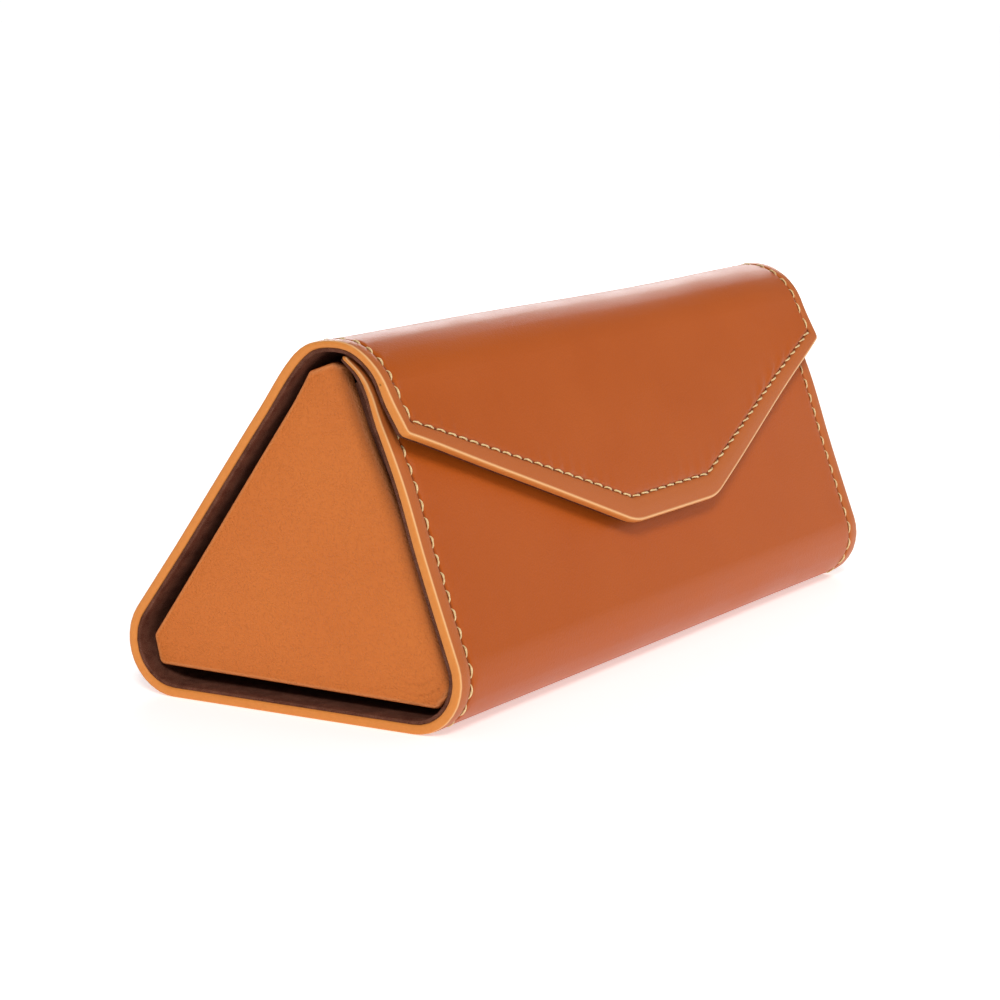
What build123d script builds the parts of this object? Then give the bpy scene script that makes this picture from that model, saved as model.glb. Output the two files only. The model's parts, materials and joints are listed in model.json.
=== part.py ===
"""A folding eyeglasses case: three leather-covered walls round a triangular space, a flap over the
front and two triangular end panels. Every wall is a board between a leather cover and a suede
lining, and the walls meet at soft folds that act as hinges.

Millimetres. X runs along the case, the front is -Y, +Z is up. The case stands on z = 0.
"""

from build123d import *
from math import atan2, cos, degrees, radians, sin, tan
import os

# ---- driving dimensions ----
case_length = 164.0
base_depth = 85.4             # between the front and back corners, as if they were sharp
front_angle = 68.92           # inside angle between the bottom and the front wall, degrees
back_angle = 53.29            # inside angle between the bottom and the back wall, degrees
front_corner_y = -40.0        # places the middle of the whole case at y = 0
front_fold_radius = 9.9       # outside radius of each soft corner
back_fold_radius = 10.0
ridge_radius = 11.4

# ---- layers of a wall, from the outside in ----
leather = 0.9
board = 0.9
lining = 0.5
wall = leather + board + lining
turned_edge = 0.9             # leather left round a board's free edge
lining_inset = 1.2            # the lining stops this far inside a free edge
edge_round = 0.5
corner_round = 1.2

# ---- front wall and flap ----
front_height = 69.0           # up the slope, from the sharp front corner to the free edge
standoff_high = 4.9           # flap's outer face above the front wall's, near the ridge
standoff_low = 3.7            # and at its tip, where the magnets pull it in
standoff_high_at = 62.0       # places of those two, up the front wall's slope
standoff_low_at = 27.8
flap_side = 8.2               # straight side edge below the ridge
flap_depth = 35.2             # from the ridge's end to the tip
flap_tip_half = 16.5          # half the straight edge at the tip

# ---- end panels ----
end_recess = 2.5              # outer face, inside the end of the case
end_hinge_gap = 1.0           # between the panel's edge and the front wall's lining
end_hinge_thick = 0.5
end_hinge_flange = 6.0        # glued to the front wall's lining
end_hinge_low = 15.0          # the leather hinge, up the front wall's slope
end_hinge_high = 62.0

# ---- stitching and magnets ----
stitch_pitch = 3.2
stitch_length = 2.3
stitch_width = 0.6
stitch_inset = 4.8            # from a free edge
stitch_proud = 0.1
fold_stitch_sunk = 0.1        # on a fold, so that a straight stitch stays inside the curve
groove_width = 0.8
groove_depth = 0.25
magnet_radius = 4.0
magnet_half_spacing = 11.0
magnet_from_tip = 10.0

half = case_length / 2
over = 20.0                   # how far a working outline runs past a fold
whole = (-400.0, 400.0)       # limits across a panel that has no folds

# ---- the section's lines: points and directions in the YZ plane ----
to_back = Vector(0, 1, 0)
front_corner = Vector(0, front_corner_y, 0)
back_corner = front_corner + to_back * base_depth
up_front = Vector(0, cos(radians(front_angle)), sin(radians(front_angle)))
up_back = Vector(0, -cos(radians(back_angle)), sin(radians(back_angle)))
front_out = Vector(0, -up_front.Z, up_front.Y)
back_out = Vector(0, up_back.Z, -up_back.Y)

# the flap's outer face runs through two points that stand off the front wall
flap_high = front_corner + up_front * standoff_high_at + front_out * standoff_high
flap_low = front_corner + up_front * standoff_low_at + front_out * standoff_low
up_flap = (flap_high - flap_low).normalized()
flap_out = Vector(0, -up_flap.Z, up_flap.Y)


def crossing(point_a, way_a, point_b, way_b):
    """Where two lines of the section meet."""
    across = way_a.Y * way_b.Z - way_a.Z * way_b.Y
    apart = point_b - point_a
    return point_a + way_a * ((apart.Y * way_b.Z - apart.Z * way_b.Y) / across)


def rounded(corner, way_a, way_b, radius):
    """A fold of this outside radius: its centre, its two ends and its middle."""
    inside = (way_a + way_b).normalized()
    half_angle = radians(way_a.get_angle(way_b) / 2)
    centre = corner + inside * (radius / sin(half_angle))
    reach = radius / tan(half_angle)
    return centre, corner + way_a * reach, corner + way_b * reach, centre - inside * radius


ridge_corner = crossing(back_corner, up_back, flap_low, up_flap)
front_fold = rounded(front_corner, to_back, up_front, front_fold_radius)
back_fold = rounded(back_corner, up_back, to_back * -1, back_fold_radius)
ridge_fold = rounded(ridge_corner, up_flap * -1, up_back * -1, ridge_radius)

bottom_length = (back_fold[2] - front_fold[1]).length
back_length = (ridge_fold[2] - back_fold[1]).length
front_start = (front_fold[2] - front_corner).length

# each plane lies on a wall's outer face, and its z points outwards
along = (1, 0, 0)
bottom_plane = Plane(origin=back_fold[2], x_dir=along, z_dir=(0, 0, -1))
back_plane = Plane(origin=ridge_fold[2], x_dir=along, z_dir=back_out)
front_plane = Plane(origin=front_corner, x_dir=along, z_dir=front_out)
flap_plane = Plane(origin=ridge_fold[1], x_dir=along, z_dir=flap_out)


def save(builder, name):
    builder.part.label = name
    export_step(builder.part, f"parts/{name}.step")


# ---- flat walls ----
def face(plane, outline, inset, limits):
    """The outline pulled in at its free edges, and cut straight where the wall folds."""
    low, high = limits
    with BuildSketch(plane) as flat:
        with BuildLine():
            Polyline(*outline, close=True)
        make_face()
        fillet(flat.vertices(), radius=corner_round)
        if inset:
            offset(amount=-inset, mode=Mode.REPLACE)
        with Locations((0, (low + high) / 2)):
            Rectangle(3 * case_length, high - low, mode=Mode.INTERSECT)
    return flat.sketch


def groove_faces(plane, rows):
    """The strips under the rows of stitches, where the leather is pressed in."""
    with BuildSketch(plane) as strips:
        for (x0, y0), (x1, y1) in rows:
            run = Vector(x1 - x0, y1 - y0)
            with Locations(((x0 + x1) / 2, (y0 + y1) / 2)):
                Rectangle(run.length, groove_width, rotation=degrees(atan2(run.Y, run.X)))
    return strips.sketch


def stitch_spots(row):
    """The middles of a row's stitches, evenly spaced, and the row's direction in degrees."""
    (x0, y0), (x1, y1) = row
    run = Vector(x1 - x0, y1 - y0)
    count = int(run.length // stitch_pitch)
    shares = [(i + 0.5) / count for i in range(count)]
    return [(x0 + run.X * s, y0 + run.Y * s) for s in shares], degrees(atan2(run.Y, run.X))


def make_cover(name, plane, outline, limits, rows):
    """The leather: the whole slab, less the board's pocket, the lining and the grooves."""
    with BuildPart() as cover:
        extrude(face(plane, outline, 0, limits), amount=-wall)
        fillet([e for e in cover.edges() if on_rim(e, plane, limits)], radius=edge_round)
        board_face = face(plane.offset(-leather), outline, turned_edge, limits)
        extrude(board_face, amount=-board, mode=Mode.SUBTRACT)
        lining_face = face(plane.offset(-leather - board), outline, lining_inset, limits)
        extrude(lining_face, amount=-lining, mode=Mode.SUBTRACT)
        if rows:
            extrude(groove_faces(plane, rows), amount=-groove_depth, mode=Mode.SUBTRACT)
    save(cover, f"{name}_cover")


def on_rim(edge, plane, limits):
    """True for an edge of the slab's two faces, other than where the wall folds."""
    middle = plane.to_local_coords(edge.center())
    on_face = min(abs(middle.Z), abs(middle.Z + wall)) < 0.01
    on_fold = min(abs(middle.Y - limits[0]), abs(middle.Y - limits[1])) < 0.01
    return on_face and not on_fold


def make_board(name, plane, outline, limits, holes):
    with BuildPart() as stiffener:
        extrude(face(plane.offset(-leather), outline, turned_edge, limits), amount=-board)
        if holes:
            with BuildSketch(plane.offset(-leather)):
                with Locations(*holes):
                    Circle(magnet_radius)
            extrude(amount=-board, mode=Mode.SUBTRACT)
    save(stiffener, f"{name}_board")


def make_lining(name, plane, outline, limits):
    with BuildPart() as suede:
        extrude(face(plane.offset(-leather - board), outline, lining_inset, limits), amount=-lining)
    save(suede, f"{name}_lining")


def make_stitching(name, plane, rows, proud):
    with BuildPart() as thread:
        with BuildSketch(plane.offset(-groove_depth)):
            for row in rows:
                spots, turn = stitch_spots(row)
                with Locations(*spots):
                    Rectangle(stitch_length, stitch_width, rotation=turn)
        extrude(amount=groove_depth + proud)
    save(thread, f"{name}_stitching")


def make_magnet(name, plane, spot):
    with BuildPart() as magnet:
        with BuildSketch(plane.offset(-leather)):
            with Locations(spot):
                Circle(magnet_radius)
        extrude(amount=-board)
    save(magnet, name)


def make_wall(name, plane, outline, limits, rows=(), proud=stitch_proud, holes=()):
    """Every layer of one wall, each as a piece of its own."""
    make_cover(name, plane, outline, limits, rows)
    make_board(name, plane, outline, limits, holes)
    make_lining(name, plane, outline, limits)
    if rows:
        make_stitching(name, plane, rows, proud)
    for side, spot in zip(("left", "right"), holes):
        make_magnet(f"{name}_magnet_{side}", plane, spot)


# ---- soft folds ----
def flat_point(point):
    return (point.Y, point.Z)


def ring_face(x, fold, radius, outer, inner):
    """Sector of a ring between two radii, on the section plane at x."""
    centre, start, end, middle = fold
    out = [flat_point(centre + (p - centre) * (outer / radius)) for p in (start, middle, end)]
    into = [flat_point(centre + (p - centre) * (inner / radius)) for p in (end, middle, start)]
    with BuildSketch(Plane.YZ.offset(x)) as ring:
        with BuildLine():
            ThreePointArc(*out)
            Line(out[-1], into[0])
            ThreePointArc(*into)
            Line(into[-1], out[0])
        make_face()
    return ring.sketch


def make_fold(name, fold, radius):
    """The leather, lining and stitching round one soft corner, as long as the case."""
    stitch_x = half - stitch_inset
    skin_inner = radius - leather - board
    with BuildPart() as skin:
        extrude(ring_face(0, fold, radius, radius, skin_inner), amount=half, both=True)
        for x in (-stitch_x, stitch_x):
            groove = ring_face(x, fold, radius, radius + groove_depth, radius - groove_depth)
            extrude(groove, amount=groove_width / 2, both=True, mode=Mode.SUBTRACT)
    save(skin, f"{name}_leather")

    suede_half = half - lining_inset
    with BuildPart() as suede:
        extrude(ring_face(0, fold, radius, skin_inner, radius - wall), amount=suede_half, both=True)
    save(suede, f"{name}_lining")

    centre, start, end, _ = fold
    turn = (start - centre).get_angle(end - centre)
    count = int(radians(turn) * radius // stitch_pitch)
    with BuildPart() as thread:
        for i in range(count):
            outward = (start - centre).rotate(Axis.X, turn_sign(fold) * turn * (i + 0.5) / count)
            spot = Plane(origin=centre + outward, x_dir=along, z_dir=outward)
            with BuildSketch(spot.offset(-groove_depth)):
                with Locations((-stitch_x, 0), (stitch_x, 0)):
                    Rectangle(stitch_width, stitch_length)
            extrude(amount=groove_depth - fold_stitch_sunk)
    save(thread, f"{name}_stitching")


def turn_sign(fold):
    """1 where the fold runs anticlockwise about X from its start to its end, else -1."""
    centre, start, end, _ = fold
    return 1 if (start - centre).cross(end - centre).X > 0 else -1


# ---- the walls ----
def rectangle(low, high):
    """Outline of a wall as long as the case, from low to high across it."""
    return [(-half, low), (half, low), (half, high), (-half, high)]


def end_rows(low, high):
    """A row of stitches near each end of the case."""
    x = half - stitch_inset
    return [((side * x, low), (side * x, high)) for side in (-1, 1)]


def flap_outline():
    """Straight sides, two long slants and a straight tip. It runs past the ridge at the top."""
    right = [(half, over), (half, -flap_side), (flap_tip_half, -flap_depth)]
    return right + [(-x, y) for x, y in reversed(right)]


def flap_rows():
    """Five rows inside the flap's edges: sides, slants and tip."""
    slant = atan2(flap_depth - flap_side, half - flap_tip_half)
    side_x = half - stitch_inset
    side_y = -flap_side - stitch_inset * (1 - sin(slant)) * tan(slant) + stitch_inset * cos(slant)
    tip_y = stitch_inset - flap_depth
    slant_run = (flap_depth - flap_side - stitch_inset * (1 - cos(slant))) / sin(slant)
    tip_x = half - slant_run * cos(slant) - stitch_inset * sin(slant)
    rows = [((-tip_x, tip_y), (tip_x, tip_y))]
    for side in (-1, 1):
        rows.append(((side * side_x, 0), (side * side_x, side_y)))
        rows.append(((side * side_x, side_y), (side * tip_x, tip_y)))
    return rows


def across_from(spot):
    """The place on the front wall that faces a place on the flap."""
    return front_plane.to_local_coords(flap_plane.from_local_coords(Vector(*spot, 0)))


def make_bottom():
    limits = (0, bottom_length)
    outline = rectangle(-over, bottom_length + over)
    make_wall("bottom", bottom_plane, outline, limits, end_rows(*limits), proud=0)


def make_back():
    limits = (0, back_length)
    outline = rectangle(-over, back_length + over)
    make_wall("back", back_plane, outline, limits, end_rows(*limits))


def make_front():
    limits = (front_start, whole[1])
    top_y = front_height - stitch_inset
    top_x = half - stitch_inset
    rows = end_rows(front_start, top_y) + [((-top_x, top_y), (top_x, top_y))]
    holes = [(across_from(spot).X, across_from(spot).Y) for spot in flap_magnet_spots()]
    outline = rectangle(front_start - over, front_height)
    make_wall("front", front_plane, outline, limits, rows, holes=holes)


def flap_magnet_spots():
    y = magnet_from_tip - flap_depth
    return [(-magnet_half_spacing, y), (magnet_half_spacing, y)]


def make_flap():
    limits = (whole[0], 0)
    make_wall("flap", flap_plane, flap_outline(), limits, flap_rows(), holes=flap_magnet_spots())


# ---- end panels ----
def off_front(height, gap):
    """A point at this height, this far inside the front wall's lining."""
    inner = front_corner - front_out * (wall + gap)
    return inner + up_front * ((height - inner.Z) / up_front.Z)


def off_back(height, gap):
    """A point at this height, this far inside the back wall's lining."""
    inner = back_corner - back_out * (wall + gap)
    return inner + up_back * ((height - inner.Z) / up_back.Z)


def end_outline():
    """The triangular panel, with its three corners cut off."""
    return [
        Vector(0, front_fold[0].Y - 3.9, 4.4),
        off_front(9.2, end_hinge_gap),
        off_front(62.6, end_hinge_gap),
        off_front(63.3, 3.2),
        off_back(61.2, 0.8),
        off_back(10.4, 2.5),
        off_back(5.1, 6.7),
    ]


def make_end(name, side):
    """One end panel and its L-shaped leather hinge; side is -1 at the left end, 1 at the right."""
    outer_x = half - end_recess
    plane = Plane(origin=(side * outer_x, 0, 0), x_dir=(0, side, 0), z_dir=(side, 0, 0))
    outline = [(side * p.Y, p.Z) for p in end_outline()]
    make_wall(name, plane, outline, whole)

    inner_face = front_plane.offset(-wall)
    web_x = side * (outer_x - wall + end_hinge_thick / 2)
    flange_x = side * (outer_x - wall + end_hinge_thick - end_hinge_flange / 2)
    with BuildPart() as hinge:
        for x, width, depth in (
            (web_x, end_hinge_thick, end_hinge_gap),
            (flange_x, end_hinge_flange, end_hinge_thick),
        ):
            with BuildSketch(inner_face):
                with Locations((x, (end_hinge_low + end_hinge_high) / 2)):
                    Rectangle(width, end_hinge_high - end_hinge_low)
            extrude(amount=-depth)
    save(hinge, f"{name}_hinge")


os.makedirs("parts", exist_ok=True)
make_bottom()
make_back()
make_front()
make_flap()
make_fold("front_fold", front_fold, front_fold_radius)
make_fold("back_fold", back_fold, back_fold_radius)
make_fold("ridge", ridge_fold, ridge_radius)
make_end("end_left", -1)
make_end("end_right", 1)
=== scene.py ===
"""The looks of a folding eyeglasses case: stitched leather walls, a suede lining and two end panels,
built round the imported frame. Metres; X runs along the case, the front is -Y and +Z is up.

The leather is one sheet bent round the case. `Path` follows its outer face in the YZ section, from
the front wall's free edge under the case and over the ridge to the flap's tip. A place on it is flat:
x along the case, s along the path and h above the outer face, and place() bends it into the case.
"""

import json
import math

import bmesh
import bpy
import numpy as np
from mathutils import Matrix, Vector


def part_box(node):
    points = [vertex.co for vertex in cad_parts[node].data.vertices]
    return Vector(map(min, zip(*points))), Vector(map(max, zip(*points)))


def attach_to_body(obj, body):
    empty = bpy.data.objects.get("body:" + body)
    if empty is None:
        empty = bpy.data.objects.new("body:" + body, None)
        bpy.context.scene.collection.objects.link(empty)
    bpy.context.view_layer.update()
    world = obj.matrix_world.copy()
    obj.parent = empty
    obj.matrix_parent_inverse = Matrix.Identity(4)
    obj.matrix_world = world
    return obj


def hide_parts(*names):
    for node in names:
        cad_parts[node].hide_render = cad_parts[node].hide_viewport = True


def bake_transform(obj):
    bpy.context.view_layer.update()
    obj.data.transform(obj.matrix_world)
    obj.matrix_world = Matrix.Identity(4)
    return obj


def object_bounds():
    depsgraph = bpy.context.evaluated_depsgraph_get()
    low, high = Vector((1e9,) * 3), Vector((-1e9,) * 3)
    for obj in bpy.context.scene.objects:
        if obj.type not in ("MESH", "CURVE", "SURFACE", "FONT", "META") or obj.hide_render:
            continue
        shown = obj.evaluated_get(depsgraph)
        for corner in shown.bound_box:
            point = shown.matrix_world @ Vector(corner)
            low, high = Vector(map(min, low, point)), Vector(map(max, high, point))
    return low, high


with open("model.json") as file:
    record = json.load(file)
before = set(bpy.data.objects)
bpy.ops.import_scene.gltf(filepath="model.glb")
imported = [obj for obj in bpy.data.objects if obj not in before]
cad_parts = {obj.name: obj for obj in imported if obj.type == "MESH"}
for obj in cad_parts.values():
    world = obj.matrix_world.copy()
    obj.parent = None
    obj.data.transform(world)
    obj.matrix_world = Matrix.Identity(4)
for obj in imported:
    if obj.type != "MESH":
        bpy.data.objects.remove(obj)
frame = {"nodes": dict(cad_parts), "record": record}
cad_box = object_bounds()
mm = 0.001

# ---- layers and edges ----
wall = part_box("bottom_cover")[1].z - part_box("bottom_cover")[0].z
half = cad_box[1].x
lining_thick = 0.55 * mm
lining_inset = 0.25 * mm          # suede stops this far inside a free edge
lining_proud = 0.12 * mm          # nap, beyond the CAD lining's face
board_inset = 1.0 * mm
edge_round = 0.45 * mm            # of the leather at a free edge
corner_round = 0.9 * mm
skived_edge = 1.0 * mm            # thickness at the front wall's free edge
front_taller = 1.0 * mm           # the front wall's leather reaches this far past the CAD edge
ridge_thin = 0.5 * mm             # how much thinner the leather is over the ridge, with no board

# ---- stitching ----
stitch_pitch = 3.2 * mm
thread_radius = 0.175 * mm
stitch_inset = 3.9 * mm           # from the ends of the case and the front wall's free edge
flap_inset_side = 3.0 * mm        # and on the flap, at its sides
flap_inset_tip = 4.9 * mm         # and at its tip
channel_depth = 0.2 * mm
channel_width = 0.5 * mm
hole_depth = 0.5 * mm
hole_long = 0.5 * mm              # half the needle hole's length, along the row
hole_wide = 0.22 * mm
floor_sink = 0.4 * mm             # thread lies this much deeper where the case rests on it
stitch_short = 0.38 * mm          # a stitch shows this far inside its two holes
stitch_dip = 0.62 * mm            # and its ends go this far down
stitch_slant = 0.13 * mm

# ---- flap outline, below the ridge ----
flap_side = 9.2 * mm
flap_tip_half = 16.5 * mm
tip_soft = 1.2 * mm               # rounding of the two corners at the tip

# ---- end panels ----
panel_gap_low = 0.2 * mm          # how much further than the CAD panel it stays off the front wall
panel_gap_high = 1.8 * mm         # and near its top
panel_soft = 4.0 * mm             # how far from the front edge the panel starts to turn inwards
panel_turn = 1.5 * mm             # and how far in its edge ends up
panel_rim = 0.6 * mm              # rounding of the panel's leather at its edge
panel_lining_inset = 1.15 * mm
hinge_thick = 0.45 * mm
hinge_flange = 6.0 * mm
hinge_bend = 0.6 * mm
hinge_deep = 1.9 * mm             # how far into the case the strip reaches beside the panel
hinge_above = 4.0 * mm            # how far it goes on past the CAD strip's top
hinge_below = 1.5 * mm            # and how far it stops short of its foot


# ======== the section ========
def two(vector):
    """The YZ part of a vector."""
    return np.array([vector[1], vector[2]], float)


def outer_normal(node):
    """Outward normal of a CAD wall's widest face."""
    middle = (cad_box[0] + cad_box[1]) / 2
    area, normal = {}, {}
    for face in frame["nodes"][node].data.polygons:
        if face.normal.dot(face.center - middle) > 0:
            key = tuple(round(c, 2) for c in face.normal)
            area[key] = area.get(key, 0) + face.area
            normal[key] = two(face.normal)
    return normal[max(area, key=area.get)]


class Path:
    """The case's outer face in the section, as seven runs: name, start s, length, radius, angles."""

    def __init__(self, walls, folds):
        self.runs, self.mark = [], {}
        s, last = 0.0, None
        for name, fold in zip(walls, [None, *folds]):
            node = f"{name}_cover"
            n = outer_normal(node)
            way = np.array([-n[1], n[0]])
            flat = np.array([v.co for v in frame["nodes"][node].data.vertices])[:, 1:]
            height, low, high = (flat @ n).max(), (flat @ way).min(), (flat @ way).max()
            start = n * height + way * low
            angle = math.atan2(n[1], n[0])
            if last is not None:
                end, end_n, end_angle = last
                angle += math.tau * round((end_angle + math.pi / 2 - angle) / math.tau)
                radius = np.linalg.norm(end - start) / np.linalg.norm(end_n - n)
                centre = end - end_n * radius
                s = self.add(fold, s, radius * (angle - end_angle), radius, end_angle, centre)
            s = self.add(name, s, high - low, None, angle, start)
            last = (start + way * (high - low), n, angle)
        self.length = s

    def add(self, name, s, length, radius, angle, point):
        self.runs.append((name, s, length, radius, angle, point))
        self.mark[name] = (s, s + length)
        return s + length

    def at(self, s):
        """Points of the outer face and outward normals, in the section."""
        point, normal = np.zeros(s.shape + (2,)), np.zeros(s.shape + (2,))
        for name, start, length, radius, angle, origin in self.runs:
            first, last = name == self.runs[0][0], name == self.runs[-1][0]
            here = ((s >= start) | first) & ((s <= start + length) | last)
            run = s[here] - start
            a = angle + (run / radius if radius else 0 * run)
            n = np.stack([np.cos(a), np.sin(a)], -1)
            if radius:
                point[here] = origin + n * radius
            else:
                point[here] = origin + np.stack([-n[:, 1], n[:, 0]], -1) * run[:, None]
            normal[here] = n
        return point, normal


path = Path(("front", "bottom", "back", "flap"), ("front_fold", "back_fold", "ridge"))
front_low, front_high = path.mark["front"]
front_low -= front_taller
flap_start, flap_tip = path.mark["flap"]
ridge_start = path.mark["ridge"][0]
ridge_length = flap_start - ridge_start
bottom_start, bottom_end = path.mark["bottom"]


def smooth(t):
    t = np.clip(t, 0, 1)
    return t * t * (3 - 2 * t)


def bell(t):
    return np.exp(-t * t)


def through(points, at):
    """A soft curve through a few points, each (place, value)."""
    places, values = np.array(points, float).T
    i = np.clip(np.searchsorted(places, at) - 1, 0, len(places) - 2)
    slopes = np.gradient(values, places)
    step = places[i + 1] - places[i]
    t = np.clip((at - places[i]) / step, 0, 1)
    rise = values[i + 1] - values[i]
    ease = t * t * (3 - 2 * t)
    return (values[i] + rise * ease + step * (t * (1 - t) ** 2 * slopes[i]
            - t * t * (1 - t) * slopes[i + 1]))


def waves(x, s):
    """Gentle unevenness of a hand-made sheet, about -1 to 1."""
    a, b = x / (31 * mm), s / (23 * mm)
    return (np.sin(a + 1.4 * np.sin(b + 0.4)) * np.sin(1.1 * b + 0.9 * np.sin(a * 0.7 + 2))
            + 0.5 * np.sin(2.3 * a + 0.6 - 1.7 * b))


def off_floor(s, run):
    """0 where the case rests on the floor, rising to 1 this far round its folds."""
    return smooth(np.maximum(bottom_start - s, s - bottom_end) / run)


def relief(x, s):
    """How far the whole wall stands off the flat CAD face at a place."""
    up = front_high - s                     # up the front wall, from its fold
    bow = through([(0, 0), (18 * mm, 0.35 * mm), (33 * mm, 0.8 * mm), (42 * mm, 0.3 * mm),
                   (52 * mm, -0.8 * mm), (front_high - front_low, -2.9 * mm)], up)
    front = np.where(up > 0, bow, 0)
    over = (s - ridge_start) / ridge_length
    ridge = through([(-1.8, 0), (-0.5, 0.45), (0, 0.4), (0.12, -0.1), (0.29, -1.05), (0.55, -1.25),
                     (0.8, -1.3), (1.1, -0.8), (1.45, 0), (4, 0)], over)
    curl = through([(0.3, 0), (0.8, -0.6), (1.08, -0.3), (1.38, 0.55), (2.2, 0)], over)
    to_end = half - np.abs(x)
    ridge = ridge * (1 - 0.65 * smooth((x - 0.3 * half) / (0.7 * half)))
    return (front + ridge * mm + curl * mm * bell(to_end / (15 * mm))
            + 0.09 * mm * waves(x, s) * off_floor(s, 9 * mm))


def thickness(s):
    """Full thickness of the walls. The front wall is skived towards its free edge."""
    height = front_high - front_low
    body = through([(0, skived_edge), (0.2 * height, 1.7 * mm), (0.5 * height, 2.1 * mm),
                    (height, wall)], np.clip(s - front_low, 0, height))
    over = (s - ridge_start) / ridge_length
    return body - ridge_thin * smooth(over / 0.25) * (1 - smooth((over - 0.8) / 0.4))


def place(x, s, h):
    point, normal = path.at(s)
    out = point + normal * (h + relief(x, s))[..., None]
    return np.stack([x, out[..., 0], out[..., 1]], -1)


# ======== mesh building ========
def grid_quads(index):
    return np.stack([index[:-1, :-1], index[:-1, 1:], index[1:, 1:], index[1:, :-1]], -1).reshape(-1, 4)


def ring_quads(a, b):
    """Quads between two closed loops of vertex numbers."""
    return np.stack([a, np.roll(a, -1), np.roll(b, -1), b], -1)


def make_mesh(name, corners, faces, flat, wear_and_painted_light=None, sharp=45):
    """A closed smooth mesh. flat is each point's place before bending, and the marks after it are edge
    wear, margin tint and masks for painted highlight and painted shade.
    """
    mesh = bpy.data.meshes.new(name)
    mesh.from_pydata(corners.tolist(), [], [list(f) for f in faces])
    for title, values in (("flat", flat / mm), ("wear_and_painted_light", wear_and_painted_light)):
        if values is not None:
            layer = mesh.attributes.new(title, "FLOAT_VECTOR", "POINT")
            layer.data.foreach_set("vector", np.asarray(values, np.float32).ravel())
    bm = bmesh.new()
    bm.from_mesh(mesh)
    bmesh.ops.recalc_face_normals(bm, faces=bm.faces)
    bm.to_mesh(mesh)
    bm.free()
    mesh.polygons.foreach_set("use_smooth", [True] * len(mesh.polygons))
    mesh.set_sharp_from_angle(angle=math.radians(sharp))
    piece = bpy.data.objects.new(name, mesh)
    bpy.context.scene.collection.objects.link(piece)
    return piece


def border(rows, cols):
    """Numbers of a grid's outside points, in order."""
    index = np.arange(rows * cols).reshape(rows, cols)
    return np.concatenate([index[0, :-1], index[:-1, -1], index[-1, :0:-1], index[:0:-1, 0]])


def slab(name, field, outer, inner, wear_and_painted_light=None, bulge=0.05 * mm):
    """A closed slab over a field of flat places, with its outer and inner faces at these heights."""
    x, s = field["x"], field["s"]
    rows, cols = x.shape
    loop = border(rows, cols)
    top = np.stack([x, s, outer], -1).reshape(-1, 3)
    low = np.stack([x, s, inner], -1).reshape(-1, 3)
    out = np.stack([field["out_x"], field["out_s"], 0 * x], -1).reshape(-1, 3)
    steps = 3
    flat, marks = [top, low], [np.zeros_like(top), np.zeros_like(low)]
    if wear_and_painted_light is not None:
        marks = [wear_and_painted_light.reshape(-1, 3), np.tile([1.0, 0, 0], (len(low), 1))]
    count = rows * cols
    loops = [loop]
    for j in range(1, steps):
        share = j / steps
        swell = bulge * math.sin(math.pi * share)
        flat.append(top[loop] * (1 - share) + low[loop] * share + out[loop] * swell)
        marks.append(marks[0][loop])
        loops.append(2 * count + (j - 1) * len(loop) + np.arange(len(loop)))
    loops.append(loop + count)
    index = np.arange(count).reshape(rows, cols)
    faces = [grid_quads(index), grid_quads(index + count)[:, ::-1]]
    faces += [ring_quads(a, b) for a, b in zip(loops, loops[1:])]
    flat = np.concatenate(flat)
    corners = place(flat[:, 0], flat[:, 1], flat[:, 2])
    return make_mesh(name, corners, np.concatenate(faces), flat, np.concatenate(marks))


# ======== fields of flat places ========
def spread(low, high, step):
    """Evenly spaced values from low to high, about this step apart."""
    return np.linspace(low, high, max(2, int(round((high - low) / step)) + 1))


plain_steps = np.array([0, 0.06, 0.2, 0.5, 1.5, 3.0]) * mm


def edge_steps(first, last):
    """Insets of a leather grid's lines near an edge: rim, margin and a channel from first to last."""
    rim = edge_round * (1 - np.cos(np.linspace(0, math.pi / 2, 5)))
    channel = spread(first - 0.7 * mm, last + 0.7 * mm, 0.24 * mm)
    margin = np.linspace(edge_round, channel[0], 4)[1:-1]
    return np.concatenate([rim, [1.5 * edge_round], margin, channel, [last + 2 * mm, last + 4 * mm]])


def around(holes, low, high):
    """Rows at, beside and between needle holes."""
    near = np.concatenate([holes + d for d in (-0.8 * hole_long, 0, 0.8 * hole_long)])
    between = (holes[1:] + holes[:-1]) / 2
    values = np.sort(np.concatenate([near, between]))
    return values[(values > low + 0.05 * mm) & (values < high - 0.05 * mm)]


def columns(inset, steps, middle):
    """Values of x, close together near both ends of the case, and middle between them."""
    side = half - inset - steps
    inner = side.min() - 0.3 * mm
    between = middle[np.abs(middle) < inner]
    return np.sort(np.concatenate([side, -side, between]))


def flap_edge(x, inset=0.0):
    """Depth of the flap below the ridge at x, and how much of it counts as distance to the edge."""
    slope = (flap_tip - flap_start - flap_side) / (half - flap_tip_half)
    lean = math.hypot(1, slope)
    slant = flap_side + (half - np.abs(x)) * slope - inset * lean
    tip = flap_tip - flap_start - inset
    blend = np.clip(0.5 + 0.5 * (tip - slant) / tip_soft, 0, 1)
    depth = tip * (1 - blend) + slant * blend - tip_soft * blend * (1 - blend)
    return depth, 1 / (1 + blend * (lean - 1))


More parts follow.
